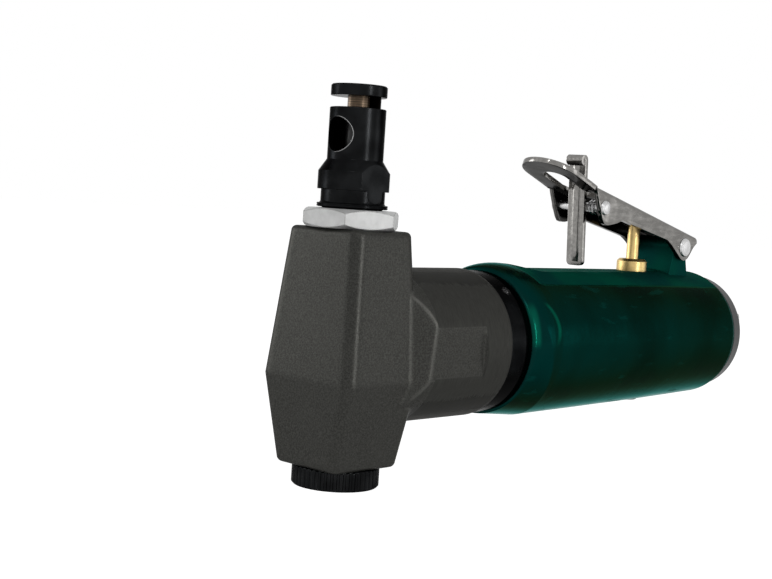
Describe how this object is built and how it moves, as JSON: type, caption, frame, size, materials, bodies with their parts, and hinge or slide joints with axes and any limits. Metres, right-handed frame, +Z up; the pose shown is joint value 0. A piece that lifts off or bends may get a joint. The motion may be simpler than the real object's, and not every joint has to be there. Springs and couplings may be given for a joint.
{
  "type": "air nibbler",
  "caption": "Right-angle pneumatic nibbler: tapered head with upright punch-and-die holder, flatted neck, round grip housing, chrome throttle lever with safety latch, rear air inlet.",
  "frame": {"origin": "centre of the lower face of the bottom cap, on the punch axis", "axes": "+Z up along the punch axis towards the die, +X along the handle towards the air inlet, +Y to the left of the user's hand"},
  "size_m": [0.2017, 0.0458, 0.1052],
  "materials": {
    "head_paint": "satin",
    "housing_paint": "gloss",
    "black_oxide": "satin",
    "bright_zinc": "satin",
    "lever_chrome": "polished",
    "tool_steel": "ground",
    "bare_steel": "ground",
    "forged_steel": "satin",
    "bronze": "satin",
    "motor_iron": "ground",
    "vane_laminate": "matt",
    "valve_brass": "turned",
    "seal_rubber": "matt",
    "silencer_felt": "matt",
    "cap_black": "satin"
  },
  "bodies": {
    "housing": {"head_casting": "head_paint", "head_cap": "black_oxide", "cap_seal": "seal_rubber", "lock_nut": "bright_zinc", "die_holder": "black_oxide", "die": "black_oxide", "die_screw": "black_oxide", "punch_guide": "bronze", "carrier_bush": "bronze", "crank_bearings": "bare_steel", "ring_gear": "forged_steel", "coupling_ring": "black_oxide", "front_plate": "motor_iron", "front_bearing": "bare_steel", "cylinder_liner": "motor_iron", "rear_plate": "motor_iron", "rear_bearing": "bare_steel", "motor_housing": "housing_paint", "pivot_pin": "bare_steel", "valve_bushing": "valve_brass", "valve_spring": "bare_steel", "valve_plug": "black_oxide", "valve_seals": "seal_rubber", "exhaust_silencer": "silencer_felt", "rear_cap": "cap_black", "inlet_bushing": "bright_zinc", "inlet_seal": "seal_rubber"},
    "punch_body": {"punch": "tool_steel", "punch_pin": "bare_steel", "punch_carrier": "bare_steel"},
    "crank_body": {"crank_shaft": "forged_steel", "planet_pins": "bare_steel"},
    "roller_body": {"crank_roller": "bare_steel"},
    "planet_1_body": {"planet_gear_1": "forged_steel"},
    "planet_2_body": {"planet_gear_2": "forged_steel"},
    "planet_3_body": {"planet_gear_3": "forged_steel"},
    "rotor_body": {"rotor": "forged_steel", "rotor_pinion": "forged_steel", "vanes": "vane_laminate"},
    "lever_body": {"throttle_lever": "lever_chrome", "latch_pin": "bare_steel", "latch_spring": "bare_steel"},
    "latch_body": {"safety_latch": "lever_chrome"},
    "valve_body": {"valve_stem": "valve_brass"}
  },
  "joints": [
    {"name": "crank_spin", "type": "hinge", "parent": "housing", "child": "crank_body", "pos_m": [0.02, 0, 0.0366], "axis": [1, 0, 0], "continuous": true},
    {"name": "roller_spin", "type": "hinge", "parent": "crank_body", "child": "roller_body", "pos_m": [0.002, 0, 0.0396], "axis": [1, 0, 0], "continuous": true},
    {"name": "planet_1_spin", "type": "hinge", "parent": "crank_body", "child": "planet_1_body", "pos_m": [0.036, 0, 0.027], "axis": [1, 0, 0], "continuous": true},
    {"name": "planet_2_spin", "type": "hinge", "parent": "crank_body", "child": "planet_2_body", "pos_m": [0.036, 0.00831, 0.0414], "axis": [1, 0, 0], "continuous": true},
    {"name": "planet_3_spin", "type": "hinge", "parent": "crank_body", "child": "planet_3_body", "pos_m": [0.036, -0.00831, 0.0414], "axis": [1, 0, 0], "continuous": true},
    {"name": "rotor_spin", "type": "hinge", "parent": "housing", "child": "rotor_body", "pos_m": [0.07, 0, 0.0366], "axis": [1, 0, 0], "continuous": true},
    {"name": "punch_slide", "type": "slide", "parent": "housing", "child": "punch_body", "axis": [0, 0, 1], "range_m": [-0.006, 0]},
    {"name": "lever_press", "type": "hinge", "parent": "housing", "child": "lever_body", "pos_m": [0.15, 0, 0.0661], "axis": [0, 1, 0], "range_deg": [-8, 0], "stiffness_Nm_per_rad": 0.35, "springref_deg": 14.32},
    {"name": "latch_fold", "type": "hinge", "parent": "lever_body", "child": "latch_body", "pos_m": [0.102, 0, 0.0776], "axis": [0, 1, 0], "range_deg": [-64, 0]},
    {"name": "valve_slide", "type": "slide", "parent": "housing", "child": "valve_body", "axis": [0, 0, 1], "range_m": [-0.0026, 0]}
  ],
  "couplings": [
    {"joint": "planet_1_spin", "follows": "crank_spin", "ratio": -3},
    {"joint": "planet_2_spin", "follows": "crank_spin", "ratio": -3},
    {"joint": "planet_3_spin", "follows": "crank_spin", "ratio": -3},
    {"joint": "rotor_spin", "follows": "crank_spin", "ratio": 4},
    {"joint": "latch_fold", "follows": "lever_press", "ratio": 8},
    {"joint": "valve_slide", "follows": "lever_press", "m_per_rad": 0.0184}
  ]
}
